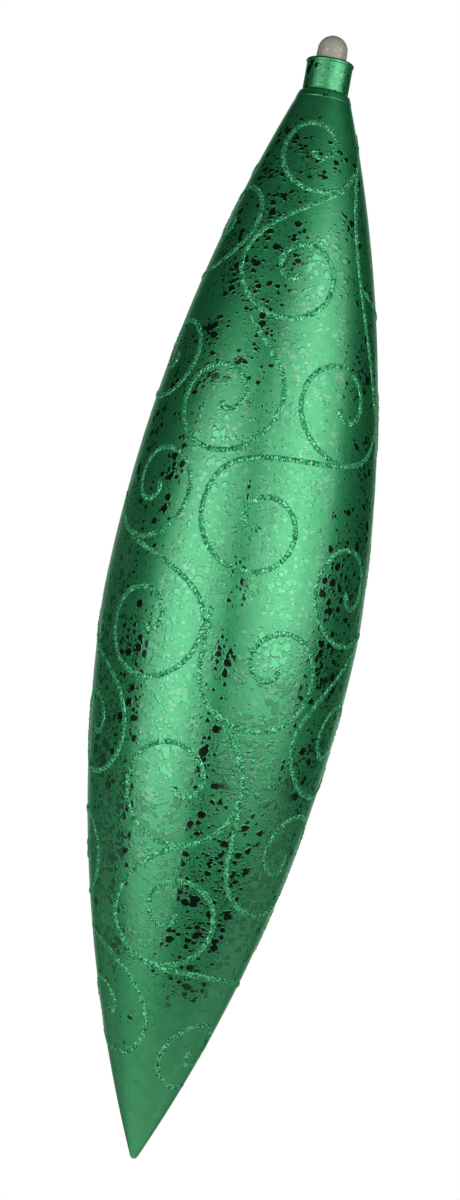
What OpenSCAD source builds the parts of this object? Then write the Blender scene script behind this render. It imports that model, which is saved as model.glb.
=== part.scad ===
// Finial drop ornament: two moulded shells, a domed hanging plug and glitter scrolls.
// Z points up the axis, the cross hole of the plug is at the origin, and the front is -Y.

/* [Body] */
// Height from the tip to the mouth of the neck
body_h = 596; // [540:1:660]
// Diameter at the widest ring
body_d = 138.8; // [124:0.2:156]
// Height of the widest ring above the tip
widest_h = 296; // [270:1:320]
// Bow of the curve above the widest ring, measured from a straight cone
upper_bow = 12.5; // [9:0.5:15]
// Bow of the curve below the widest ring, measured from a straight cone
lower_bow = 14.8; // [10:0.4:17]
// Radius of the rounded tip
tip_r = 2.2; // [1.6:0.1:3.2]
// Wall of the two moulded shells
wall = 1.4; // [1:0.1:2]

/* [Seam] */
// Length of the spigot that the upper shell pushes into the lower shell
lap_h = 8; // [4:0.5:14]
// Wall of the spigot
lap_wall = 1.2; // [0.8:0.1:2]
// Clearance round the spigot
lap_clear = 0.1; // [0.05:0.05:0.3]

/* [Neck] */
// Outside diameter of the neck
neck_d = 24.8; // [24:0.2:29]
// Height of the neck from its crease to its mouth
neck_h = 18; // [16:0.5:24]
// Width of the ledge at the crease, where the cone meets the neck
ledge_w = 1.1; // [0.6:0.1:1.8]
// Height of the rolled rim at the mouth
rim_h = 2.6; // [1.6:0.2:3.6]
// How far the rolled rim stands out from the neck
rim_out = 0.5; // [0.3:0.1:0.7]
// Wall of the neck round the bore for the plug
neck_wall = 2.4; // [1.9:0.1:3.2]
// Width of the seat round the bore, on which the collar of the plug rests
seat_w = 1.3; // [0.8:0.1:1.6]

/* [Plug] */
// Thickness of the collar that rests on the seat in the mouth
collar_h = 1.6; // [1:0.1:2.4]
// Length of the shank below the collar
shank_h = 13; // [8:0.5:13]
// Wall of the hollow shank
shank_wall = 3.4; // [1.6:0.1:4.6]
// Diameter of the domed knob
knob_d = 16.4; // [13:0.2:18]
// Straight height of the knob under its dome
knob_h = 5.8; // [4:0.2:10]
// Diameter of the cross hole for a hanging cord
cord_hole_d = 3; // [2:0.1:4.5]
// Clearance round the shank and the collar, and under the collar
plug_clear = 0.1; // [0.05:0.05:0.3]

/* [Glitter scrolls] */
// Width of a glitter bead
bead_w = 3; // [2.4:0.1:4]
// Height of a glitter bead
bead_h = 0.6; // [0.4:0.1:2]
// Layer of clear glue under a bead
glue_gap = 0.3; // [0.25:0.05:0.5]
// Width of the round drop where a curl begins
drop_w = 4.6; // [4:0.1:5.6]

/* [Hidden] */
$fn = 96;
shell_colour = "#3f9a63";
plug_colour = "#9b978c";
glitter_colour = "#6fd39a";

body_r = body_d / 2;
neck_r = neck_d / 2;
bore_r = neck_r - neck_wall;
knob_r = knob_d / 2;
crease_h = body_h - neck_h;
hang_h = body_h + knob_h;
recess_h = collar_h + plug_clear;
recess_r = bore_r + seat_w;
seat_h = body_h - recess_h;
lip_flat = 0.2;
curve_steps = 24;
cut_past = 1;

// An arc of the outline from a lower to a higher point: [centre radius, centre height, arc radius]
function arc_through(low, high, bow) =
    let (d = high - low)
    let (chord = norm(d))
    let (r = (chord * chord / 4 + bow * bow) / (2 * bow))
    let (c = (low + high) / 2 + [-d.y, d.x] / chord * (r - bow))
    [c.x, c.y, r];
function arc_r(arc, z, inset = 0) = arc[0] + sqrt(pow(arc[2] - inset, 2) - pow(z - arc[1], 2));
function arc_points(arc, z0, z1, inset = 0) =
    [for (i = [0 : curve_steps]) let (z = z0 + (z1 - z0) * i / curve_steps) [arc_r(arc, z, inset), z]];
function circle_points(centre, r, a0, a1, steps) =
    [for (i = [0 : steps]) let (a = a0 + (a1 - a0) * i / steps) centre + r * [cos(a), sin(a)]];

// The tip is a small sphere that the lower arc touches
sharp_arc = arc_through([0, 0], [body_r, widest_h], lower_bow);
tip_angle = atan2(sharp_arc[1], -sharp_arc[0]);
tip_end = tip_r * [cos(tip_angle), 1 - sin(tip_angle)];
lower_arc = arc_through(tip_end, [body_r, widest_h], lower_bow);
upper_arc = arc_through([body_r, widest_h], [neck_r + ledge_w, crease_h], upper_bow);

// Inside of the shells, the spigot at the seam and the throat under the neck
inner_tip_h = lower_arc[1] - sqrt(pow(lower_arc[2] - wall, 2) - pow(lower_arc[0], 2));
spigot_r = arc_r(lower_arc, widest_h - lap_h, wall) - lap_clear;
spigot_top_h = widest_h + 2 * wall;
blend_h = spigot_top_h + 2 * (lap_wall + lap_clear) + lap_h / 2;
throat_h = crease_h - 2 * wall - ledge_w;
throat_r = arc_r(upper_arc, throat_h, wall);

// Surface of the body, for what lies on it
function surface_arc(z) = z < widest_h ? lower_arc : upper_arc;
function surface_r(z) = arc_r(surface_arc(z), z);
function surface_slope(z) = let (arc = surface_arc(z)) (arc[1] - z) / (surface_r(z) - arc[0]);
function on_surface(az, z, out = 0) =
    let (slope = surface_slope(z))
    let (k = out / sqrt(1 + slope * slope))
    let (r = surface_r(z) + k)
    [r * sin(az), -r * cos(az), z - slope * k];

curl_start_r = 4;
curl_steps = 26;
tail_steps = 11;
tail_chord = 9;
tail_ratio = 0.4;

// One row per scroll. Heights are percentages of the way from the widest ring up to the crease,
// or down to the tip where they are negative, and angles are in degrees:
// [azimuth, height, curl radius in percent of the body's radius, angle where the tail leaves,
//  sweep of the curl, turn (1 or -1), ease of its opening,
//  azimuth of the tail's end, height of the tail's end, heading there]
scrolls = [
    [3, 88, 35.5, -60, 430, 1, 0.95, 47, 83.5, 52],
    [3, 64, 43, -160, 455, -1, 1, 20, 77.5, 36],
    [-68, 73, 36, -60, 430, -1, 0.85, -100, 61.5, 190],
    [-68, 46.5, 35.5, -100, 430, -1, 0.7, -99, 39.5, 170],
    [-24, 38.5, 44, -10, 430, 1, 0.65, -16, 52, 130],
    [40, 41, 44.5, -70, 420, 1, 0.75, 73, 37, 75],
    [126, 88, 28, 142, 430, 1, 0.85, 74, 41.5, 281],
    [140, 67.5, 29, -95, 430, -1, 0.85, 64, 63.5, 145],
    [-50, 21.5, 42.5, -110, 480, -1, 0.9, -82, 19.5, 130],
    [5, 17, 46, 160, 480, -1, 1, 32, 28.5, 5],
    [57, 8, 42.5, -80, 400, 1, 0.6, 84, 0.5, 10],
    [-39, -3.5, 47.5, -10, 430, 1, 0.8, -51, 9.5, 170],
    [22, -8, 52.5, -130, 510, -1, 1.3, -6, -3.5, 92],
    [-69, -23, 45.5, 60, 500, 1, 0.7, -92, -2.5, 110],
    [-13, -30.5, 48.5, -30, 400, 1, 0.55, 13, -22, 135],
    [71, -19.5, 47.5, -150, 490, -1, 0.85, 76, -2.5, 45],
    [60, -40.5, 50.5, -120, 480, -1, 0.9, 25, -35.5, 92],
    [-4, -53, 45.5, -150, 490, -1, 0.95, -15, -43, 25],
    [128, -75, 27.5, 80, 430, 1, 0.85, 18, -63, 176],
    [-60, -72.5, 43, 60, 470, 1, 0.75, -80, -59, 160],
    [50, -78, 30.5, -90, 420, 1, 0.6, 78, -85, 0],
    [-84, -44.5, 36.5, -70, 430, -1, 0.85, -105, -53.5, 180],
    [228, 87, 29, -80, 420, 1, 0.85, 286, 84.5, 25],
    [205, 69, 33, -70, 430, -1, 0.85, 172, 59.5, 190],
    [109, 39, 40.5, 100, 440, -1, 0.85, 136, 50.5, 30],
    [169, 41, 44.5, -80, 430, 1, 0.7, 199, 35.5, 60],
    [228, 38.5, 40.5, 110, 450, -1, 0.9, 256, 49.5, 40],
    [112, 15, 43, -70, 440, 1, 0.65, 140, 10, 50],
    [168, 17.5, 44.5, -110, 460, -1, 0.95, 139, 23.5, 110],
    [226, 14, 44.5, 80, 430, 1, 0.85, 198, 25, 150],
    [121, -10.5, 44.5, 110, 450, -1, 1, 148, 0.5, 20],
    [176, -8, 44.5, -90, 440, 1, 0.7, 206, -13.5, 50],
    [231, -10, 44.5, 90, 460, -1, 0.9, 256, -3.5, 340],
    [124, -36, 40.5, -80, 440, 1, 0.75, 148, -41, 40],
    [176, -33, 39, 100, 430, 1, 0.9, 150, -23.5, 160],
    [229, -32.5, 39, -90, 430, 1, 0.8, 254, -36.5, 40],
    [107, -55.5, 30.5, 80, 430, -1, 0.85, 134, -50.5, 340],
    [168, -54.5, 36, -100, 450, -1, 0.9, 140, -56, 120],
    [226, -56, 30.5, 90, 430, 1, 0.85, 197, -47.5, 160],
    [207, -74.5, 24.5, -90, 420, 1, 0.75, 240, -78.5, 20]
];

function scroll_name(i) = str("scroll_", i < 9 ? "0" : "", i + 1);
function half_h(part) = part > 0 ? crease_h - widest_h : widest_h;
function part_to_h(part) = widest_h + half_h(part) * part / 100;
// A curl is round on a body whose halves are 4.06 and 4.27 times its radius tall, and stretches with others
function curl_stretch(part) = half_h(part) / body_r / (part > 0 ? 4.06 : 4.27);
function bezier(p, t) =
    pow(1 - t, 3) * p[0] + 3 * t * pow(1 - t, 2) * p[1] + 3 * t * t * (1 - t) * p[2] + pow(t, 3) * p[3];

// The curl opens from its centre, and the tail leaves it in a smooth bend to its own end.
// A long tail has more rings, so that its bead follows the body
function curl_point(s, t) =
    let (a = s[3] - s[5] * s[4] * (1 - t))
    (curl_start_r + (body_r * s[2] / 100 - curl_start_r) * pow(t, s[6])) * [cos(a), sin(a) * curl_stretch(s[1])];
function tail_points(s) =
    let (start = curl_point(s, 1))
    let (way = start - curl_point(s, 0.99))
    let (end_h = part_to_h(s[8]))
    let (end = [(s[7] - s[0]) * PI / 180 * surface_r(end_h), end_h - part_to_h(s[1])])
    let (pull = tail_ratio * norm(end - start))
    [start, start + pull * way / norm(way), end - pull * [cos(s[9]), sin(s[9])], end];
function scroll_flat(s) =
    let (steps = ceil(s[4] / 360 * curl_steps))
    let (tail = tail_points(s))
    let (rings = max(tail_steps, ceil(3 * norm(tail[1] - tail[0]) / tail_chord)))
    concat(
        [for (i = [0 : steps]) curl_point(s, i / steps)],
        [for (i = [1 : rings]) bezier(tail, i / rings)]
    );
function scroll_route(s) =
    [for (p = scroll_flat(s))
        let (z = part_to_h(s[1]) + p.y)
        [s[0] + p.x / surface_r(z) * 180 / PI, z]];

// Cross-section of a bead, across the line and out from the surface
function bead_section(w) = [[-w / 2, 0], [-w / 4, bead_h], [w / 4, bead_h], [w / 2, 0]];
function bead_width(i, last) =
    i < 3 ? drop_w + (bead_w - drop_w) * i / 3 : (i > last - 2 ? bead_w * (0.6 + 0.2 * (last - i)) : bead_w);

module scroll_bead(s) {
    route = scroll_route(s);
    last = len(route) - 1;
    points = [for (i = [0 : last])
        let (here = on_surface(route[i][0], route[i][1]))
        let (up = on_surface(route[i][0], route[i][1], 1) - here)
        let (a = route[max(i - 1, 0)])
        let (b = route[min(i + 1, last)])
        let (side = cross(up, on_surface(b[0], b[1]) - on_surface(a[0], a[1])))
        for (q = bead_section(bead_width(i, last)))
            here + side / norm(side) * q.x + up * (q.y + glue_gap)];
    sides = [for (i = [0 : last - 1], k = [0 : 3])
        let (a = 4 * i + k)
        let (b = 4 * i + (k + 1) % 4)
        each [[a, b, b + 4], [a, b + 4, a + 4]]];
    ends = [[0, 2, 1], [0, 3, 2], 4 * last * [1, 1, 1] + [0, 1, 2], 4 * last * [1, 1, 1] + [0, 2, 3]];
    polyhedron(points, concat(sides, ends));
}

module from_tip() {
    translate([0, 0, -hang_h]) children();
}

module lower_shell() {
    color(shell_colour) from_tip() rotate_extrude()
        polygon(concat(
            circle_points([0, tip_r], tip_r, -90, -tip_angle, 6),
            arc_points(lower_arc, tip_end.y, widest_h),
            arc_points(lower_arc, widest_h, inner_tip_h, wall)
        ));
}

module upper_shell() {
    rim_r = min(rim_h / 2, neck_r + rim_out - recess_r - lip_flat);
    rim_x = neck_r + rim_out - rim_r;
    rim_start = -acos((rim_r - rim_out) / rim_r);
    color(shell_colour) from_tip() rotate_extrude()
        polygon(concat(
            [[spigot_r - lap_wall, widest_h - lap_h], [spigot_r, widest_h - lap_h], [spigot_r, widest_h]],
            arc_points(upper_arc, widest_h, crease_h),
            [[neck_r, crease_h + ledge_w]],
            circle_points([rim_x, body_h - rim_h + rim_r], rim_r, rim_start, -6, 4),
            circle_points([rim_x, body_h - rim_r], rim_r, 6, 90, 6),
            [[recess_r, body_h], [recess_r, seat_h], [bore_r, seat_h], [bore_r, throat_h + throat_r - bore_r]],
            arc_points(upper_arc, throat_h, blend_h, wall),
            [[spigot_r - lap_wall, spigot_top_h]]
        ));
}

module hanger_plug() {
    collar_z = seat_h + plug_clear;
    shank_z = collar_z - shank_h;
    shank_r = bore_r - plug_clear;
    color(plug_colour) from_tip() difference() {
        union() {
            translate([0, 0, shank_z]) cylinder(r = shank_r, h = shank_h);
            translate([0, 0, collar_z]) cylinder(r = recess_r - plug_clear, h = collar_h);
            translate([0, 0, collar_z]) cylinder(r = knob_r, h = hang_h - collar_z);
            translate([0, 0, hang_h]) sphere(r = knob_r);
        }
        translate([0, 0, shank_z - cut_past]) cylinder(r = shank_r - shank_wall, h = shank_h + cut_past);
        translate([0, 0, hang_h]) rotate([0, 90, 0]) cylinder(d = cord_hole_d, h = 2 * knob_d, center = true);
    }
}

module glitter_scroll(i) {
    color(glitter_colour) from_tip() scroll_bead(scrolls[i]);
}

scroll_ids = [0 : len(scrolls) - 1];

lower_shell();
upper_shell();
hanger_plug();
for (i = scroll_ids) glitter_scroll(i);
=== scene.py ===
import math
import random

import bmesh
import bpy
from mathutils import Matrix, Vector


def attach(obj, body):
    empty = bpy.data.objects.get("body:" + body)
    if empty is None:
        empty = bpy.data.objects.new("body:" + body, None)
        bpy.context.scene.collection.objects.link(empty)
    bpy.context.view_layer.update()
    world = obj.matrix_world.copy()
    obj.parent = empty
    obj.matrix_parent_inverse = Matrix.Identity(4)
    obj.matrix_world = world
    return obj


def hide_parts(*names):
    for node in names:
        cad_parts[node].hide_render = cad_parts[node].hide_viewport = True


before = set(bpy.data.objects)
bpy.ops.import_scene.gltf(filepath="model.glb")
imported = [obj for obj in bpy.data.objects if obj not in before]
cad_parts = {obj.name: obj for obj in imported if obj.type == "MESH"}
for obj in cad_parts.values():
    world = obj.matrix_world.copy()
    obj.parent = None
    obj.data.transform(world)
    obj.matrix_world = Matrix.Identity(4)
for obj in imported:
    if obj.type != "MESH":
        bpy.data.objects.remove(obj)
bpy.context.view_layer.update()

mm = 0.001  # meshes are drawn in millimetres above the tip, then moved into the frame in metres
perMetre = 1000  # turns a size in millimetres into a pattern's scale
weld = 1e-4  # points closer than this many millimetres become one


def linear(hexCode):
    parts = [int(hexCode[i:i + 2], 16) / 255 for i in (1, 3, 5)]
    return tuple(c / 12.92 if c <= 0.04045 else ((c + 0.055) / 1.055) ** 2.4 for c in parts) + (1.0,)


def addNode(tree, kind, settings=None, links=None):
    node = tree.nodes.new(kind)
    for key, value in (settings or {}).items():
        if isinstance(key, int) or key in node.inputs:
            node.inputs[key].default_value = value
        else:
            setattr(node, key, value)
    for key, socket in (links or {}).items():
        tree.links.new(socket, node.inputs[key])
    return node


def setStops(ramp, stops):
    elements = ramp.color_ramp.elements
    while len(elements) < len(stops):
        elements.new(0.5)
    for element, (position, colour) in zip(elements, stops):
        element.position, element.color = position, colour


def newMaterial(name):
    material = bpy.data.materials.new(name)
    material.use_nodes = True
    tree = material.node_tree
    tree.nodes.clear()
    shader = addNode(tree, "ShaderNodeBsdfPrincipled")
    addNode(tree, "ShaderNodeOutputMaterial", links={"Surface": shader.outputs[0]})
    return material, tree, shader


# how deep a point lies inside a strewn round spot, in cells; below 0 it is outside
def spotDepth(tree, place, cell, rarest, reach, smallest, channel=0, extra=None):
    cells = addNode(tree, "ShaderNodeTexVoronoi", {"Scale": perMetre / cell}, {"Vector": place})
    chance = addNode(tree, "ShaderNodeSeparateColor", links={0: cells.outputs["Color"]}).outputs[channel]
    if extra is not None:
        chance = addNode(tree, "ShaderNodeMath", {"operation": "ADD"}, {0: chance, 1: extra}).outputs[0]
    radius = addNode(tree, "ShaderNodeMapRange",
                     {"From Min": rarest, "From Max": 1.0, "To Min": smallest, "To Max": reach},
                     {0: chance})
    return addNode(tree, "ShaderNodeMath", {"operation": "SUBTRACT"},
                   {0: radius.outputs[0], 1: cells.outputs["Distance"]}).outputs[0]


# body, sizes in millimetres
bodySize = {
    "height": 596.0,
    "diameter": 138.8,
    "widestHeight": 296.0,
    "upperBow": 12.5,
    "lowerBow": 14.8,
    "tipRadius": 2.2,
    "wall": 1.4,
    "lapHeight": 8.0,
    "lapWall": 1.2,
    "lapClear": 0.1,
    "neckDiameter": 24.8,
    "neckHeight": 18.0,
    "ledge": 1.1,
    "rimHeight": 2.6,
    "rimOut": 0.5,
    "neckWall": 2.4,
    "seat": 1.3,
    "collarHeight": 1.6,
    "plugClear": 0.1,
    "knobHeight": 5.8,
    "mouldLineDrop": 3.9,  # fine step in the mould below the crease
    "mouldLineRise": 0.22,
    "mouldLineLength": 0.35,
    "mouldLineLead": 0.3,  # close rings begin this far below the step and end this far above it
    "mouldLineReach": 0.6,
    "creaseGap": 0.25,  # free of rings below the crease, above the fillet and below the rim
    "neckGap": 1,
    "rimGap": 0.6,
    "filletStart": 0.12,  # radians
    "ringSoftness": 6.0,  # half length of the rounded corner at the widest ring
    "mouthEdge": 0.15,  # small bevel where the plug goes in
    "tipRings": 10,
    "lowerRings": 84,
    "cornerRings": 6,
    "upperRings": 80,
    "mouldLineRings": 9,
    "creaseRings": 4,
    "filletRings": 6,
    "neckRings": 6,
    "rimRings": 14,
    "insideRings": 40,
    "segments": 192,
}
bodyRadius = bodySize["diameter"] / 2
widestHeight = bodySize["widestHeight"]
neckRadius = bodySize["neckDiameter"] / 2
boreRadius = neckRadius - bodySize["neckWall"]
recessRadius = boreRadius + bodySize["seat"]
creaseHeight = bodySize["height"] - bodySize["neckHeight"]
seatHeight = bodySize["height"] - bodySize["collarHeight"] - bodySize["plugClear"]
hangHeight = bodySize["height"] + bodySize["knobHeight"]


def arcThrough(low, high, bow):
    dr, dh = high[0] - low[0], high[1] - low[1]
    chord = math.hypot(dr, dh)
    radius = (chord ** 2 / 4 + bow ** 2) / (2 * bow)
    back = (radius - bow) / chord
    return (low[0] + high[0]) / 2 - dh * back, (low[1] + high[1]) / 2 + dr * back, radius


def arcRadius(arc, h, inset=0.0):
    return arc[0] + math.sqrt((arc[2] - inset) ** 2 - (h - arc[1]) ** 2)


def between(a, b, count):
    return [a + (b - a) * i / count for i in range(count + 1)]


sharpArc = arcThrough((0, 0), (bodyRadius, widestHeight), bodySize["lowerBow"])
tipAngle = math.atan2(sharpArc[1], -sharpArc[0])
tipEnd = (bodySize["tipRadius"] * math.cos(tipAngle), bodySize["tipRadius"] * (1 - math.sin(tipAngle)))
lowerArc = arcThrough(tipEnd, (bodyRadius, widestHeight), bodySize["lowerBow"])
upperArc = arcThrough((bodyRadius, widestHeight), (neckRadius + bodySize["ledge"], creaseHeight),
                      bodySize["upperBow"])


def surfaceRadius(h):
    return arcRadius(lowerArc if h < widestHeight else upperArc, h)


def surfaceSlope(h, arc=None):
    arc = arc or (lowerArc if h < widestHeight else upperArc)
    return (arc[1] - h) / (arcRadius(arc, h) - arc[0])


def onSurface(azimuth, h, out=0.0):
    slope = surfaceSlope(h)
    rise = out / math.sqrt(1 + slope * slope)
    r = surfaceRadius(h) + rise
    a = math.radians(azimuth)
    return Vector((r * math.sin(a), -r * math.cos(a), h - slope * rise))


cornerTurn = surfaceSlope(widestHeight, lowerArc) - surfaceSlope(widestHeight, upperArc)


def skinRadius(h):  # outside of the shells, with the corner at the widest ring rounded
    r = surfaceRadius(h)
    near = 1 - abs(h - widestHeight) / bodySize["ringSoftness"]
    if near > 0:
        r -= cornerTurn * bodySize["ringSoftness"] / 4 * near * near
    step = min(max((h - creaseHeight + bodySize["mouldLineDrop"]) / bodySize["mouldLineLength"], 0), 1)
    return r + bodySize["mouldLineRise"] * step * step * (3 - 2 * step)


def finishPiece(name, bm, material, body, slot, *nodes):
    bmesh.ops.translate(bm, verts=bm.verts, vec=(0, 0, -hangHeight))
    bmesh.ops.scale(bm, verts=bm.verts, vec=(mm, mm, mm))
    mesh = bpy.data.meshes.new(name)
    bm.to_mesh(mesh)
    bm.free()
    mesh.materials.append(material)
    piece = bpy.data.objects.new(name, mesh)
    bpy.context.scene.collection.objects.link(piece)
    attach(piece, body)
    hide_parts(*nodes)
    return piece


def spinProfile(profile, closed, segments, sharpAngle=24):
    bm = bmesh.new()
    verts = [bm.verts.new((r, 0, h)) for r, h in profile]
    for a, b in zip(verts, verts[1:] + (verts[:1] if closed else [])):
        bm.edges.new((a, b))
    bmesh.ops.spin(bm, geom=bm.verts[:] + bm.edges[:], cent=(0, 0, 0), axis=(0, 0, 1), dvec=(0, 0, 0),
                   angle=math.tau, steps=segments, use_merge=True, use_normal_flip=False,
                   use_duplicate=False)
    bmesh.ops.remove_doubles(bm, verts=bm.verts, dist=weld)
    bmesh.ops.recalc_face_normals(bm, faces=bm.faces)
    for face in bm.faces:
        face.smooth = True
    for edge in bm.edges:
        edge.smooth = edge.calc_face_angle(0) < math.radians(sharpAngle)
    return bm


# Mercury-look lacquer: plastic metallised, then coated satin green. Where the coat crawled back, blots and
# specks of bare mirror metal show: black against a dark room, pale droplets against a lamp. The clear coat
# on top gives the highlights their pale middle and pale flecks. Pattern sizes are in millimetres.
lacquerLook = {
    "green": "#3DB674",
    "deepGreen": "#31A969",
    "bare": "#4CA171",
    "edgeGreen": "#86DCAB",  # colour of the reflections at a flat angle
    "pigment": 0.15,  # share of the coat that scatters light like paint
    "satinRoughness": 0.41,
    "satinSpread": 0.05,
    "mirrorRoughness": 0.06,
    "coatRoughness": 0.25,
    "coatIor": 2.6,  # a thin metal haze on the clear coat
    "satinGloss": 0.29,  # weight of the clear coat on the satin, the flecks and the bare spots
    "fleckGloss": 0.78,
    "dropGloss": 0.13,
    "shift": (1.51, 2.79, 3.33),  # where the blots fall, metres
    "squash": 1.15,  # the coat ran sideways
    "wobble": 3.0,  # waves in the outline of the blots
    "wobbleReach": 1.8,
    "cloud": 26.0,  # patches with more and fewer blots
    # how broken the coat is, up the body: closed at the tip
    "blots": ((0.0, 0.0), (0.2, 0.66), (0.4, 0.7), (0.54, 0.54), (0.7, 0.51), (1.0, 0.51)),
    "blotLevel": 1.04,
    # cell, how rare, largest radius in cells
    "spots": ((4.6, 0.44, 0.62), (2.5, 0.44, 0.62), (1.25, 0.44, 0.56), (0.75, 0.5, 0.5)),
    "flecks": ((4.8, 0.8, 0.5), (2.3, 0.3, 0.58)),
    "smallest": -0.1,  # the least lucky cells have no spot
    "spotEdge": 0.14,
    "fleckEdge": 0.2,
    "fleckStart": (0.08, 0.3),  # flecks fade in over this share of the height, above the plain tip
    "rim": 0.42,  # width of the rounded border of a droplet
    "dome": 0.1,  # its height
    "fullDome": 2.5,  # smaller cells have lower domes
    "grain": 0.8,
    "grainRelief": 0.12,
    "mottle": 5.0,
    "mottleRange": (0.35, 0.65),
}


def makeLacquer():
    look = lacquerLook
    material, tree, shader = newMaterial("mercuryLacquer")
    where = addNode(tree, "ShaderNodeTexCoord").outputs["Object"]
    place = addNode(tree, "ShaderNodeMapping", {"Location": look["shift"], "Scale": (1, 1, look["squash"])},
                    {"Vector": where}).outputs[0]
    wobble = addNode(tree, "ShaderNodeTexNoise", {"Scale": perMetre / look["wobble"], "Detail": 1.0},
                     {"Vector": place})
    centred = addNode(tree, "ShaderNodeVectorMath", {"operation": "SUBTRACT", 1: (0.5, 0.5, 0.5)},
                      {0: wobble.outputs["Color"]})
    pushed = addNode(tree, "ShaderNodeVectorMath",
                     {"operation": "SCALE", "Scale": look["wobbleReach"] * mm}, {0: centred.outputs[0]})
    moved = addNode(tree, "ShaderNodeVectorMath", {"operation": "ADD"},
                    {0: place, 1: pushed.outputs[0]}).outputs[0]

    # the chance of a blot changes up the body and in soft clouds
    cloud = addNode(tree, "ShaderNodeTexNoise", {"Scale": perMetre / look["cloud"], "Detail": 1.0},
                    {"Vector": place})
    height = addNode(tree, "ShaderNodeSeparateXYZ", links={0: where}).outputs["Z"]
    upBody = addNode(tree, "ShaderNodeMapRange", {"From Min": -hangHeight * mm, "From Max": 0.0},
                     {0: height}).outputs[0]
    broken = addNode(tree, "ShaderNodeValToRGB", links={0: upBody})
    setStops(broken, [(position, (level, level, level, 1)) for position, level in look["blots"]])
    share = addNode(tree, "ShaderNodeMath", {"operation": "ADD"},
                    {0: cloud.outputs[0], 1: broken.outputs[0]})
    lot = addNode(tree, "ShaderNodeMath", {"operation": "SUBTRACT", 1: look["blotLevel"]},
                  {0: share.outputs[0]}).outputs[0]

    masks, domes, specks = [], [], []
    for cell, rarest, reach in look["spots"]:
        inside = spotDepth(tree, moved, cell, rarest, reach, look["smallest"], extra=lot)
        masks.append(addNode(tree, "ShaderNodeMapRange",
                             {"From Min": 0.0, "From Max": look["spotEdge"] / cell}, {0: inside}))
        domes.append(addNode(tree, "ShaderNodeMapRange",
                             {"interpolation_type": "SMOOTHSTEP", "From Min": 0.0,
                              "From Max": look["rim"] / cell, "To Max": min(1, cell / look["fullDome"])},
                             {0: inside}))
    for cell, rarest, reach in look["flecks"]:
        inside = spotDepth(tree, moved, cell, rarest, reach, look["smallest"], channel=1)
        specks.append(addNode(tree, "ShaderNodeMapRange",
                              {"From Min": 0.0, "From Max": look["fleckEdge"] / cell}, {0: inside}))
    for layers in (masks, domes, specks):  # the largest of all kinds of spot counts
        while len(layers) > 1:
            layers[:2] = [addNode(tree, "ShaderNodeMath", {"operation": "MAXIMUM"},
                                  {0: layers[0].outputs[0], 1: layers[1].outputs[0]})]
    mask, dome, fleck = (layers[0].outputs[0] for layers in (masks, domes, specks))

    grain = addNode(tree, "ShaderNodeTexNoise", {"Scale": perMetre / look["grain"], "Detail": 2.0},
                    {"Vector": place}).outputs[0]
    satin = addNode(tree, "ShaderNodeMapRange",
                    {"To Min": look["satinRoughness"] - look["satinSpread"],
                     "To Max": look["satinRoughness"] + look["satinSpread"]}, {0: grain})
    rough = addNode(tree, "ShaderNodeMix", {"data_type": "FLOAT", 3: look["mirrorRoughness"]},
                    {0: mask, 2: satin.outputs[0]})
    mottle = addNode(tree, "ShaderNodeTexNoise",
                     {"Scale": perMetre / look["mottle"], "Detail": 4.0, "Roughness": 0.65},
                     {"Vector": where})
    deepest, palest = look["mottleRange"]
    uneven = addNode(tree, "ShaderNodeMapRange", {"From Min": deepest, "From Max": palest},
                     {0: mottle.outputs[0]})
    coated = addNode(tree, "ShaderNodeMix",
                     {"data_type": "RGBA", 6: linear(look["deepGreen"]), 7: linear(look["green"])},
                     {0: uneven.outputs[0]})
    tint = addNode(tree, "ShaderNodeMix", {"data_type": "RGBA", 7: linear(look["bare"])},
                   {0: mask, 6: coated.outputs[2]})
    relief = addNode(tree, "ShaderNodeMath", {"operation": "MULTIPLY_ADD", 1: look["grainRelief"]},
                     {0: grain, 2: dome})
    bump = addNode(tree, "ShaderNodeBump", {"Strength": 1.0, "Distance": look["dome"] * mm},
                   {"Height": relief.outputs[0]})
    metal = addNode(tree, "ShaderNodeMapRange", {"To Min": 1 - look["pigment"], "To Max": 1.0}, {0: mask})

    fadeLow, fadeHigh = look["fleckStart"]
    fadeIn = addNode(tree, "ShaderNodeMapRange", {"From Min": fadeLow, "From Max": fadeHigh}, {0: upBody})
    shown = addNode(tree, "ShaderNodeMath", {"operation": "MULTIPLY"}, {0: fleck, 1: fadeIn.outputs[0]})
    sheen = addNode(tree, "ShaderNodeMapRange",
                    {"To Min": look["satinGloss"], "To Max": look["fleckGloss"]}, {0: shown.outputs[0]})
    gloss = addNode(tree, "ShaderNodeMix", {"data_type": "FLOAT", 3: look["dropGloss"]},
                    {0: mask, 2: sheen.outputs[0]})
    shader.inputs["Specular Tint"].default_value = linear(look["edgeGreen"])
    shader.inputs["Coat IOR"].default_value = look["coatIor"]
    shader.inputs["Coat Roughness"].default_value = look["coatRoughness"]
    tree.links.new(metal.outputs[0], shader.inputs["Metallic"])
    tree.links.new(gloss.outputs[0], shader.inputs["Coat Weight"])
    tree.links.new(tint.outputs[2], shader.inputs["Base Color"])
    tree.links.new(rough.outputs[0], shader.inputs["Roughness"])
    tree.links.new(bump.outputs[0], shader.inputs["Normal"])
    return material


lacquer = makeLacquer()


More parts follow.
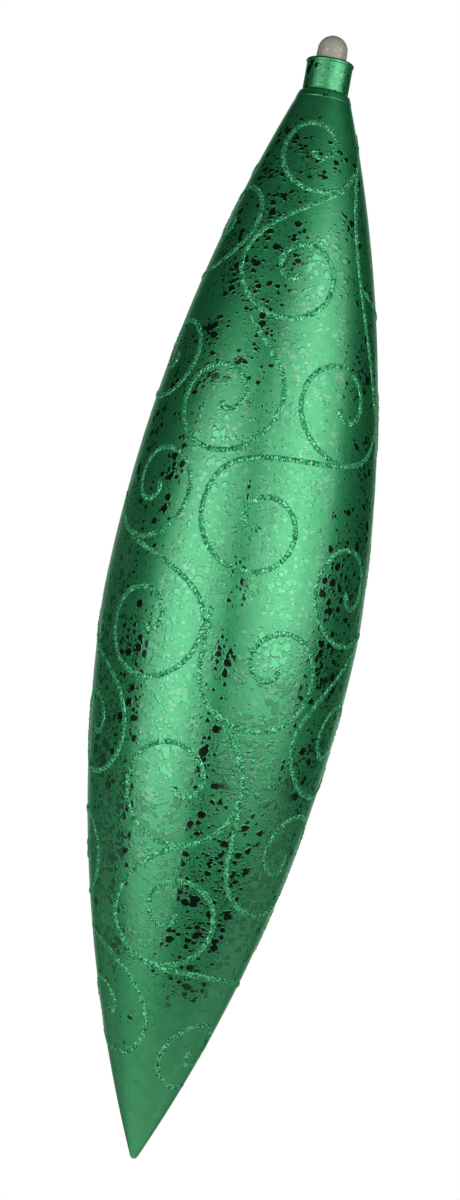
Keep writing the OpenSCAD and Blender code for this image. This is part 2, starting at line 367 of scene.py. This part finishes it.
def makeLowerShell():
    size = bodySize
    wall, soft, tip = size["wall"], size["ringSoftness"], size["tipRadius"]
    innerTip = lowerArc[1] - math.sqrt((lowerArc[2] - wall) ** 2 - lowerArc[0] ** 2)
    tipTurn = between(-math.pi / 2, -tipAngle, size["tipRings"])
    outline = [(tip * math.cos(a), tip * (1 + math.sin(a))) for a in tipTurn[:-1]]
    heights = between(tipEnd[1], widestHeight - soft, size["lowerRings"])
    heights += between(widestHeight - soft, widestHeight, size["cornerRings"])[1:]
    outline += [(skinRadius(h), h) for h in heights]
    inside = between(widestHeight, innerTip, size["insideRings"])
    outline += [(arcRadius(lowerArc, h, wall), h) for h in inside]
    outline[0], outline[-1] = (0.0, 0.0), (0.0, innerTip)
    bm = spinProfile(outline, False, size["segments"])
    finishPiece("lowerShell", bm, lacquer, "ornament", "lacquer", "lower_shell")


def makeUpperShell():
    size = bodySize
    wall, soft, ledge, top = (size[key] for key in ("wall", "ringSoftness", "ledge", "height"))
    lapWall, lapClear, lapHeight = (size[key] for key in ("lapWall", "lapClear", "lapHeight"))
    spigotRadius = arcRadius(lowerArc, widestHeight - lapHeight, wall) - lapClear
    spigotTop = widestHeight + 2 * wall
    blendHeight = spigotTop + 2 * (lapWall + lapClear) + lapHeight / 2
    throatHeight = creaseHeight - 2 * wall - ledge
    throatRadius = arcRadius(upperArc, throatHeight, wall)

    # spigot and outside, with rings close together round the fine step of the mould
    step = creaseHeight - size["mouldLineDrop"]
    reach = size["mouldLineReach"]
    heights = between(widestHeight, widestHeight + soft, size["cornerRings"])
    heights += between(widestHeight + soft, step - reach, size["upperRings"])[1:]
    heights += between(step - size["mouldLineLead"], step + reach, size["mouldLineRings"])
    heights += between(step + reach, creaseHeight - size["creaseGap"], size["creaseRings"])[1:]
    outline = [(spigotRadius - lapWall, widestHeight - lapHeight),
               (spigotRadius, widestHeight - lapHeight), (spigotRadius, widestHeight)]
    outline += [(skinRadius(h), h) for h in heights]

    # neck with its fillet and rolled rim
    outline += [(neckRadius + ledge * (1 - math.sin(a)), creaseHeight + ledge * (1 - math.cos(a)))
                for a in between(size["filletStart"], math.pi / 2, size["filletRings"])]
    rimRadius = size["rimHeight"] / 2
    rimCentre = (neckRadius + size["rimOut"] - rimRadius, top - rimRadius)
    rimStart = -math.acos((rimRadius - size["rimOut"]) / rimRadius)
    neckLow = creaseHeight + ledge + size["neckGap"]
    neckHigh = rimCentre[1] + rimRadius * math.sin(rimStart) - size["rimGap"]
    outline += [(neckRadius, h) for h in between(neckLow, neckHigh, size["neckRings"])]
    outline += [(rimCentre[0] + rimRadius * math.cos(a), rimCentre[1] + rimRadius * math.sin(a))
                for a in between(rimStart, math.pi / 2, size["rimRings"])]

    # mouth, recess and bore, then down the inside
    edge = size["mouthEdge"]
    outline += [(recessRadius + edge, top), (recessRadius, top - edge), (recessRadius, seatHeight),
                (boreRadius, seatHeight), (boreRadius, throatHeight + throatRadius - boreRadius)]
    inside = between(throatHeight, blendHeight, size["insideRings"])
    outline += [(arcRadius(upperArc, h, wall), h) for h in inside]
    outline += [(spigotRadius - lapWall, spigotTop)]
    bm = spinProfile(outline, True, size["segments"])
    finishPiece("upperShell", bm, lacquer, "ornament", "lacquer", "upper_shell")


makeLowerShell()
makeUpperShell()
print("shells spun")


# Push-in plug: clouded polystyrene, moulded with pale flecks. It lets some light in, so its edge is
# darker than its face. Sizes are in millimetres.
plugSize = {
    "shankHeight": 13.0,
    "shankWall": 3.4,
    "knobDiameter": 16.4,
    "knobStart": 1,  # first ring of the knob above the collar
    "knobRings": 5,
    "domeRings": 18,
    "cordHole": 3.0,
    "holeSegments": 40,
    "edge": 0.35,  # rounded edges
    "edgeMiddle": 0.3,  # middle of the small fillet under the knob, as a share of the edge
    "drillLength": 4,  # in radii of the knob, so that the hole goes right through
    "sharpAngle": 30,
    "segments": 72,
}
plugLook = {
    "face": "#D0CCC0",
    "cloud": "#BCB7A9",
    "cloudSize": 3.0,
    "fleck": "#FFF6DA",
    "fleckCell": 1.5,
    "fleckRarest": 0.45,
    "fleckReach": 0.5,
    "fleckSmallest": -0.05,
    "fleckEdge": 0.2,
    "roughness": 0.22,
    "ior": 1.55,
    "transmission": 0.3,
    "bump": 0.2,
    "bumpHeight": 0.1,
}


def makePlugMaterial():
    look = plugLook
    material, tree, shader = newMaterial("cloudedPolystyrene")
    place = addNode(tree, "ShaderNodeTexCoord").outputs["Object"]
    cloud = addNode(tree, "ShaderNodeTexNoise", {"Scale": perMetre / look["cloudSize"], "Detail": 3.0},
                    {"Vector": place}).outputs[0]
    tint = addNode(tree, "ShaderNodeMix",
                   {"data_type": "RGBA", 6: linear(look["cloud"]), 7: linear(look["face"])}, {0: cloud})
    inside = spotDepth(tree, place, look["fleckCell"], look["fleckRarest"], look["fleckReach"],
                       look["fleckSmallest"])
    fleck = addNode(tree, "ShaderNodeMapRange", {"From Min": 0.0, "From Max": look["fleckEdge"]},
                    {0: inside})
    colour = addNode(tree, "ShaderNodeMix", {"data_type": "RGBA", 7: linear(look["fleck"])},
                     {0: fleck.outputs[0], 6: tint.outputs[2]})
    bump = addNode(tree, "ShaderNodeBump", {"Strength": look["bump"], "Distance": look["bumpHeight"] * mm},
                   {"Height": cloud})
    shader.inputs["Roughness"].default_value = look["roughness"]
    shader.inputs["IOR"].default_value = look["ior"]
    shader.inputs["Transmission Weight"].default_value = look["transmission"]
    tree.links.new(colour.outputs[2], shader.inputs["Base Color"])
    tree.links.new(bump.outputs[0], shader.inputs["Normal"])
    return material


def drillCordHole(plug, radius, length):
    drill = bmesh.new()
    bmesh.ops.create_cone(drill, cap_ends=True, segments=plugSize["holeSegments"],
                          radius1=radius * mm, radius2=radius * mm, depth=length * mm,
                          matrix=Matrix.Rotation(math.pi / 2, 4, "Y"))
    drillMesh = bpy.data.meshes.new("cordHoleDrill")
    drill.to_mesh(drillMesh)
    drill.free()
    cutter = bpy.data.objects.new("cordHoleDrill", drillMesh)
    bpy.context.scene.collection.objects.link(cutter)
    cut = plug.modifiers.new("cordHole", "BOOLEAN")
    cut.operation, cut.solver, cut.object = "DIFFERENCE", "EXACT", cutter
    drilled = bpy.data.meshes.new_from_object(plug.evaluated_get(bpy.context.evaluated_depsgraph_get()))
    plug.modifiers.clear()
    plug.data = drilled
    bpy.data.objects.remove(cutter)
    drilled.set_sharp_from_angle(angle=math.radians(plugSize["sharpAngle"]))


def makePlug():
    edge = plugSize["edge"]
    swell = edge * plugSize["edgeMiddle"]
    clear = bodySize["plugClear"]
    knob = plugSize["knobDiameter"] / 2
    shank = boreRadius - clear
    hollow = shank - plugSize["shankWall"]
    collar = recessRadius - clear
    collarLow = seatHeight + clear
    collarTop = collarLow + bodySize["collarHeight"]
    shankLow = collarLow - plugSize["shankHeight"]
    outline = [(0, collarLow), (hollow, collarLow), (hollow, shankLow + edge), (hollow + edge, shankLow),
               (shank - edge, shankLow), (shank, shankLow + edge), (shank, collarLow),
               (collar - edge, collarLow), (collar, collarLow + edge), (collar, collarTop - edge),
               (collar - edge, collarTop), (knob + edge, collarTop), (knob + swell, collarTop + swell),
               (knob, collarTop + edge)]
    knobSide = between(collarTop + plugSize["knobStart"], hangHeight, plugSize["knobRings"])
    outline += [(knob, h) for h in knobSide]
    outline += [(knob * math.cos(a), hangHeight + knob * math.sin(a))
                for a in between(0, math.pi / 2, plugSize["domeRings"])[1:]]
    outline[-1] = (0, hangHeight + knob)
    bm = spinProfile(outline, False, plugSize["segments"])
    plug = finishPiece("domedPlug", bm, makePlugMaterial(), "hanger", "plug", "hanger_plug")
    drillCordHole(plug, plugSize["cordHole"] / 2, plugSize["drillLength"] * knob)


makePlug()
print("plug turned and drilled")


# Glitter lines: polyester flakes strewn on a bead of clear glue. Every flake leans its own way,
# so a line is a band of dark and bright points that flash one by one. Sizes are in millimetres.
glitterSize = {
    "width": 3.0,
    "height": 0.34,
    "drop": 4.2,  # width of the blob where a curl begins
    "dropLength": 5.0,
    "dropRise": 0.2,
    "sink": 0.2,
    "startRadius": 1.5,
    "startLength": 1.6,  # rounded start of a line, and how blunt it is
    "startBlunt": 0.3,
    "endLength": 4.5,  # drawn-out end
    "endBlunt": 0.4,
    "thinnest": 0.04,  # square of the least share of the width at the ends
    "upperRadii": 4.06,  # height of each half in radii of the body, for which the curls are round
    "lowerRadii": 4.27,
    "tailRatio": 0.4,  # pull on a tail's bend, as a share of the way to its end
    "curlSteps": 200,
    "tailSteps": 60,
    "ring": 0.5,  # distance between rings of the bead
    "facets": 6,
    "seed": 1000,
    "waves": 3,  # the hand that drew the line was uneven
    "waveLength": (5, 14),
    "waveSize": (0.02, 0.06),
    "jitter": 0.12,
    "raised": 0.35,  # share of the facets that stand up as flakes
    "flakeLift": (0.04, 0.14),
    "flakeLean": 0.5,
    "leanShare": 0.6,
    "flakeSpread": (0.8, 1.1),
    "strays": 14,
    "strayReach": (1.8, 4.2),
    "strayLean": 0.05,
    "strayLift": 0.03,
    "flake": 0.36,  # radius, drawn a little coarse so that it shows
    "flakeSize": (0.6, 1.1),
    "flakeSides": 6,
    "flakeTaper": 0.9,
    "flakeThickness": 0.1,
}
glitterLook = {
    "roughness": 0.32,
    "metallic": 0.55,
    "edgeGreen": "#9BE8BC",
    "tones": ((0.0, "#0E4A28"), (0.4, "#32A064"), (0.75, "#5CD494"), (1.0, "#A2F5C8")),
}
# azimuth, height in hundredths of its half, curl radius in hundredths of the body's, angle where the tail
# leaves, sweep, turn, ease, then the azimuth, height and heading of the tail's end
scrolls = [
    (3, 88, 35.5, -60, 430, 1, 0.95, 47, 83.5, 52),
    (3, 64, 43, -160, 455, -1, 1, 20, 77.5, 36),
    (-68, 73, 36, -60, 430, -1, 0.85, -100, 61.5, 190),
    (-68, 46.5, 35.5, -100, 430, -1, 0.7, -99, 39.5, 170),
    (-24, 38.5, 44, -10, 430, 1, 0.65, -16, 52, 130),
    (40, 41, 44.5, -70, 420, 1, 0.75, 73, 37, 75),
    (126, 88, 28, 142, 430, 1, 0.85, 74, 41.5, 281),
    (140, 67.5, 29, -95, 430, -1, 0.85, 64, 63.5, 145),
    (-50, 21.5, 42.5, -110, 480, -1, 0.9, -82, 19.5, 130),
    (5, 17, 46, 160, 480, -1, 1, 32, 28.5, 5),
    (57, 8, 42.5, -80, 400, 1, 0.6, 84, 0.5, 10),
    (-39, -3.5, 47.5, -10, 430, 1, 0.8, -51, 9.5, 170),
    (22, -8, 52.5, -130, 510, -1, 1.3, -6, -3.5, 92),
    (-69, -23, 45.5, 60, 500, 1, 0.7, -92, -2.5, 110),
    (-13, -30.5, 48.5, -30, 400, 1, 0.55, 13, -22, 135),
    (71, -19.5, 47.5, -150, 490, -1, 0.85, 76, -2.5, 45),
    (60, -40.5, 50.5, -120, 480, -1, 0.9, 25, -35.5, 92),
    (-4, -53, 45.5, -150, 490, -1, 0.95, -15, -43, 25),
    (128, -75, 27.5, 80, 430, 1, 0.85, 18, -63, 176),
    (-60, -72.5, 43, 60, 470, 1, 0.75, -80, -59, 160),
    (50, -78, 30.5, -90, 420, 1, 0.6, 78, -85, 0),
    (-84, -44.5, 36.5, -70, 430, -1, 0.85, -105, -53.5, 180),
    (228, 87, 29, -80, 420, 1, 0.85, 286, 84.5, 25),
    (205, 69, 33, -70, 430, -1, 0.85, 172, 59.5, 190),
    (109, 39, 40.5, 100, 440, -1, 0.85, 136, 50.5, 30),
    (169, 41, 44.5, -80, 430, 1, 0.7, 199, 35.5, 60),
    (228, 38.5, 40.5, 110, 450, -1, 0.9, 256, 49.5, 40),
    (112, 15, 43, -70, 440, 1, 0.65, 140, 10, 50),
    (168, 17.5, 44.5, -110, 460, -1, 0.95, 139, 23.5, 110),
    (226, 14, 44.5, 80, 430, 1, 0.85, 198, 25, 150),
    (121, -10.5, 44.5, 110, 450, -1, 1, 148, 0.5, 20),
    (176, -8, 44.5, -90, 440, 1, 0.7, 206, -13.5, 50),
    (231, -10, 44.5, 90, 460, -1, 0.9, 256, -3.5, 340),
    (124, -36, 40.5, -80, 440, 1, 0.75, 148, -41, 40),
    (176, -33, 39, 100, 430, 1, 0.9, 150, -23.5, 160),
    (229, -32.5, 39, -90, 430, 1, 0.8, 254, -36.5, 40),
    (107, -55.5, 30.5, 80, 430, -1, 0.85, 134, -50.5, 340),
    (168, -54.5, 36, -100, 450, -1, 0.9, 140, -56, 120),
    (226, -56, 30.5, 90, 430, 1, 0.85, 197, -47.5, 160),
    (207, -74.5, 24.5, -90, 420, 1, 0.75, 240, -78.5, 20),
]
# where the glue of a tail runs on to its neighbour: azimuth, height and heading there
tailTouch = {
    1: (57.5, 85.5, 50), 2: (38, 81.5, 40), 5: (-20, 54.5, 130), 6: (74, 39.4, 75), 7: (74, 40, 281),
    8: (55, 63.7, 145), 10: (48, 30.5, 12), 12: (-59, 11, 165), 13: (-9, 1.4, 95), 15: (5, -19, 135),
    17: (21, -32.5, 100), 18: (0, -40.5, 15), 19: (-17, -63, 178),
}


def halfHeight(part):
    return creaseHeight - widestHeight if part > 0 else widestHeight


def partHeight(part):
    return widestHeight + halfHeight(part) * part / 100


def scrollRoute(number, row):  # points of one line as (azimuth, height)
    size = glitterSize
    azimuth, part, share, leave, sweep, turn, ease = row[:7]
    endAzimuth, endPart, heading = tailTouch.get(number, row[7:])
    stretch = halfHeight(part) / bodyRadius / size["upperRadii" if part > 0 else "lowerRadii"]
    start = size["startRadius"]

    def curl(t):
        a = math.radians(leave - turn * sweep * (1 - t))
        r = start + (bodyRadius * share / 100 - start) * t ** ease
        return Vector((r * math.cos(a), r * math.sin(a) * stretch))

    leaving = curl(1)
    way = (leaving - curl(0.99)).normalized()  # the direction over the last hundredth
    endHeight = partHeight(endPart)
    end = Vector((math.radians(endAzimuth - azimuth) * surfaceRadius(endHeight),
                  endHeight - partHeight(part)))
    pull = size["tailRatio"] * (end - leaving).length
    back = Vector((math.cos(math.radians(heading)), math.sin(math.radians(heading)))) * pull
    flat = [curl(i / size["curlSteps"]) for i in range(size["curlSteps"] + 1)]
    for i in range(1, size["tailSteps"] + 1):
        t = i / size["tailSteps"]
        flat.append((1 - t) ** 3 * leaving + 3 * t * (1 - t) ** 2 * (leaving + way * pull)
                    + 3 * t * t * (1 - t) * (end - back) + t ** 3 * end)
    heights = [partHeight(part) + p.y for p in flat]
    return [(azimuth + math.degrees(p.x / surfaceRadius(h)), h) for p, h in zip(flat, heights)]


def evenSteps(route, step, fewest=8, tiny=1e-9):
    points = [onSurface(*p) for p in route]
    run = [0.0]
    for a, b in zip(points, points[1:]):
        run.append(run[-1] + (b - a).length)
    count = max(fewest, round(run[-1] / step))
    even, k = [], 0
    for i in range(count + 1):
        want = run[-1] * i / count
        while k < len(run) - 2 and run[k + 1] < want:
            k += 1
        t = (want - run[k]) / max(run[k + 1] - run[k], tiny)
        even.append(tuple(a + (b - a) * t for a, b in zip(route[k], route[k + 1])))
    return even, run[-1]


def makeGlitterMaterial():
    material, tree, shader = newMaterial("polyesterGlitter")
    tone = addNode(tree, "ShaderNodeAttribute", {"attribute_name": "flakeTone"})
    ramp = addNode(tree, "ShaderNodeValToRGB", links={0: tone.outputs["Fac"]})
    setStops(ramp, [(position, linear(hexCode)) for position, hexCode in glitterLook["tones"]])
    shader.inputs["Metallic"].default_value = glitterLook["metallic"]
    shader.inputs["Roughness"].default_value = glitterLook["roughness"]
    shader.inputs["Specular Tint"].default_value = linear(glitterLook["edgeGreen"])
    tree.links.new(ramp.outputs[0], shader.inputs["Base Color"])
    return material


glitter = makeGlitterMaterial()


def beadRings(rng, even, length):  # a matrix for each ring: half width, height, direction and place
    size = glitterSize
    last = len(even) - 1
    waves = [(rng.uniform(*size["waveLength"]), rng.uniform(0, math.tau), rng.uniform(*size["waveSize"]))
             for _ in range(size["waves"])]
    rings = []
    for i, (azimuth, h) in enumerate(even):
        here = onSurface(azimuth, h, -size["sink"])
        up = onSurface(azimuth, h, 1) - onSurface(azimuth, h)
        along = onSurface(*even[min(i + 1, last)]) - onSurface(*even[max(i - 1, 0)])
        side = along.cross(up).normalized()
        s = length * i / last
        sway = 1 + sum(amount * math.sin(math.tau * s / wave + phase) for wave, phase, amount in waves)
        blob = max(0, 1 - s / size["dropLength"])
        width = (size["width"] + (size["drop"] - size["width"]) * blob) * sway
        height = (size["height"] + size["sink"] + size["dropRise"] * blob) * sway
        ends = min(1, (s + size["startBlunt"]) / size["startLength"],
                   (length - s + size["endBlunt"]) / size["endLength"])
        rounded = math.sqrt(max(size["thinnest"], 1 - (1 - ends) ** 2))
        matrix = Matrix.Identity(4)
        columns = (side * width / 2 * rounded, up * height * rounded, along.normalized(), here)
        for k, column in enumerate(columns):
            matrix.col[k][:3] = column
        rings.append(matrix)
    return rings


def strewStrays(rng, bm, even):  # a few flakes strayed on to the body
    size = glitterSize
    for _ in range(size["strays"]):
        i = rng.randint(1, len(even) - 2)
        azimuth, h = even[i]
        run = math.radians(even[i + 1][0] - even[i - 1][0]) * surfaceRadius(h)
        rise = even[i + 1][1] - even[i - 1][1]
        off = rng.choice((-1, 1)) * rng.uniform(*size["strayReach"]) / math.hypot(run, rise)
        spot = azimuth - math.degrees(rise * off / surfaceRadius(h)), h + run * off
        up = onSurface(*spot, 1) - onSurface(*spot)
        lean = Vector([rng.gauss(0, size["strayLean"]) for _ in range(3)])
        turn = (up + lean).to_track_quat("Z", "Y").to_matrix().to_4x4()
        r = size["flake"] * rng.uniform(*size["flakeSize"])
        bmesh.ops.create_cone(bm, cap_ends=True, segments=size["flakeSides"], radius1=r,
                              radius2=r * size["flakeTaper"], depth=size["flakeThickness"],
                              matrix=Matrix.Translation(onSurface(*spot, size["strayLift"])) @ turn)


def layBead(bm, rings):
    facets = glitterSize["facets"]
    last, sides = len(rings) - 1, facets + 1  # facets over the bead, and one flat face under it
    bead = bmesh.ops.create_grid(bm, x_segments=last, y_segments=sides, size=0.5)["verts"]
    for v in bead:
        ring, side = round((v.co.x + 0.5) * last), round((v.co.y + 0.5) * sides) % sides
        a = math.pi * side / facets
        v.co = rings[ring] @ Vector((math.cos(a), math.sin(a), 0))
    bmesh.ops.remove_doubles(bm, verts=bead, dist=weld)
    bmesh.ops.holes_fill(bm, edges=[e for e in bm.edges if e.is_boundary], sides=0)
    bmesh.ops.recalc_face_normals(bm, faces=bm.faces)
    return {v for v in bead if v.is_valid}


def facesOut(face):
    return face.normal.dot(face.calc_center_median() * Vector((1, 1, 0))) > 0


def makeScroll(number, row):
    size = glitterSize
    rng = random.Random(size["seed"] + number)
    even, length = evenSteps(scrollRoute(number, row), size["ring"])
    rings = beadRings(rng, even, length)
    bm = bmesh.new()
    tone = bm.faces.layers.float.new("flakeTone")
    strewStrays(rng, bm, even)
    bead = layBead(bm, rings)
    for v in bm.verts:
        if v in bead:
            v.co += Vector([rng.uniform(-1, 1) for _ in range(3)]) * size["jitter"]
    bm.normal_update()
    top = [f for f in bm.faces if f.verts[0] in bead and facesOut(f) and rng.random() < size["raised"]]
    # these flakes stand proud of the glue
    for flake in bmesh.ops.extrude_discrete_faces(bm, faces=top)["faces"]:
        centre, lift = flake.calc_center_median(), flake.normal * rng.uniform(*size["flakeLift"])
        lean = Vector([rng.gauss(0, size["flakeLean"]) for _ in range(3)])
        for v in flake.verts:
            arm = (v.co - centre) * rng.uniform(*size["flakeSpread"])
            v.co = centre + lift + arm + flake.normal * arm.dot(lean) * size["leanShare"]
    for face in bm.faces:
        face[tone] = rng.random()
    finishPiece("glitterScroll%02d" % number, bm, glitter, "ornament", "glitter", "scroll_%02d" % number)


for scrollNumber, scrollRow in enumerate(scrolls, 1):
    makeScroll(scrollNumber, scrollRow)
print("glitter scrolls laid:", len(scrolls))


# studio: a white room to the camera, dark to reflections apart from the lamps and a pale floor far below
studio = {
    "floorDrop": 1.0,  # metres below the tip
    "floorRadius": 1.2,
    "floorSegments": 96,
    "floorColour": "#F1EFEA",
    "floorRoughness": 0.8,
    "floorGlow": 0.25,
    "floorPale": 0.5,  # added to what the camera sees of it
    "backdrop": 1.0,
    "ambient": 0.02,
}
# name, azimuth and elevation from the middle of the body, distance, width, height, watts
# the softboxes are brighter in their middle and fade out below
lamps = [
    ("leftSoftbox", -39, 0.5, 1.15, 1.4, 1.12, 5.8),
    ("leftSoftboxCore", -39, 0.5, 1.1, 0.56, 1.06, 1.4),
    ("leftSoftboxSkirt", -39, -34.3, 1.37, 1.4, 0.42, 1.5),
    ("rightUpperSoftbox", 41, 26, 1.15, 1.72, 0.8, 5.1),
    ("rightUpperSoftboxCore", 41, 26, 1.1, 0.6, 0.76, 1.05),
    ("rightLowerSoftbox", 43, -1, 1.15, 1.48, 0.34, 2.0),
    ("rightLowerSoftboxCore", 41, -1, 1.1, 0.6, 0.33, 0.46),
    ("rightSoftboxSkirt", 43, -16.7, 1.2, 1.48, 0.31, 1.1),
    ("backPanel", -179, 8, 1.3, 1.5, 2.2, 5.6),
    ("floorBounce", 180, -83, 1.2, 2.7, 2.7, 1.55),
    ("rightTable", 104, -36, 1.35, 1.2, 0.9, 0.95),
    ("leftTable", -106, -38, 1.35, 1.2, 0.9, 0.5),
    ("leftFill", -128, -18, 1.35, 1.1, 1.3, 0.4),
    ("rightFill", 146, -20, 1.35, 1.0, 1.2, 0.5),
]


def hangLamps():
    middle = Vector((0, 0, (widestHeight - hangHeight) * mm))
    for name, azimuth, elevation, distance, width, height, watts in lamps:
        light = bpy.data.lights.new(name, "AREA")
        light.shape, light.size, light.size_y, light.energy = "RECTANGLE", width, height, watts
        lamp = bpy.data.objects.new(name, light)
        a, e = math.radians(azimuth), math.radians(elevation)
        away = Vector((math.sin(a) * math.cos(e), -math.cos(a) * math.cos(e), math.sin(e)))
        lamp.location = middle + away * distance
        lamp.rotation_mode = "QUATERNION"
        lamp.rotation_quaternion = away.to_track_quat("Z", "Y")
        lamp.visible_camera = False
        bpy.context.scene.collection.objects.link(lamp)


def layFloor():
    bm = bmesh.new()
    bmesh.ops.create_circle(bm, cap_ends=True, segments=studio["floorSegments"],
                            radius=studio["floorRadius"],
                            matrix=Matrix.Translation((0, 0, -hangHeight * mm - studio["floorDrop"])))
    mesh = bpy.data.meshes.new("paleFloor")
    bm.to_mesh(mesh)
    bm.free()
    material, tree, shader = newMaterial("paleFloorPaint")
    shader.inputs["Base Color"].default_value = linear(studio["floorColour"])
    shader.inputs["Roughness"].default_value = studio["floorRoughness"]
    shader.inputs["Emission Color"].default_value = linear(studio["floorColour"])
    seen = addNode(tree, "ShaderNodeLightPath").outputs["Is Camera Ray"]
    glow = addNode(tree, "ShaderNodeMath",
                   {"operation": "MULTIPLY_ADD", 1: studio["floorPale"], 2: studio["floorGlow"]}, {0: seen})
    tree.links.new(glow.outputs[0], shader.inputs["Emission Strength"])
    mesh.materials.append(material)
    floor = bpy.data.objects.new("paleFloor", mesh)
    bpy.context.scene.collection.objects.link(floor)


def paintRoom():
    world = bpy.data.worlds.new("whiteRoom")
    world.use_nodes = True
    bpy.context.scene.world = world
    tree = world.node_tree
    tree.nodes.clear()
    seen = addNode(tree, "ShaderNodeLightPath").outputs["Is Camera Ray"]
    dark = addNode(tree, "ShaderNodeBackground", {"Color": (1, 1, 1, 1), "Strength": studio["ambient"]})
    white = addNode(tree, "ShaderNodeBackground", {"Color": (1, 1, 1, 1), "Strength": studio["backdrop"]})
    both = addNode(tree, "ShaderNodeMixShader", links={0: seen, 1: dark.outputs[0], 2: white.outputs[0]})
    addNode(tree, "ShaderNodeOutputWorld", links={0: both.outputs[0]})


bpy.context.scene.view_settings.view_transform = "Standard"  # keeps the lacquer's green in the reflections
hangLamps()
layFloor()
paintRoom()
print("studio lit")


# camera level with the middle of the ornament, rolled so that the top leans to the right
cameraSetup = {"distance": 1.25, "x": -0.0020, "z": -0.2986, "roll": 10.2, "lens": 70.1, "sensor": 36}
camera = bpy.data.objects.new("camera", bpy.data.cameras.new("camera"))
camera.data.lens = cameraSetup["lens"]
camera.data.sensor_width = cameraSetup["sensor"]
camera.location = (cameraSetup["x"], -cameraSetup["distance"], cameraSetup["z"])
upright = Matrix.Rotation(math.pi / 2, 3, "X")
rolled = Matrix.Rotation(math.radians(cameraSetup["roll"]), 3, "Z")
camera.rotation_mode = "QUATERNION"
camera.rotation_quaternion = (upright @ rolled).to_quaternion()
bpy.context.scene.collection.objects.link(camera)
bpy.context.scene.camera = camera
print("camera placed")
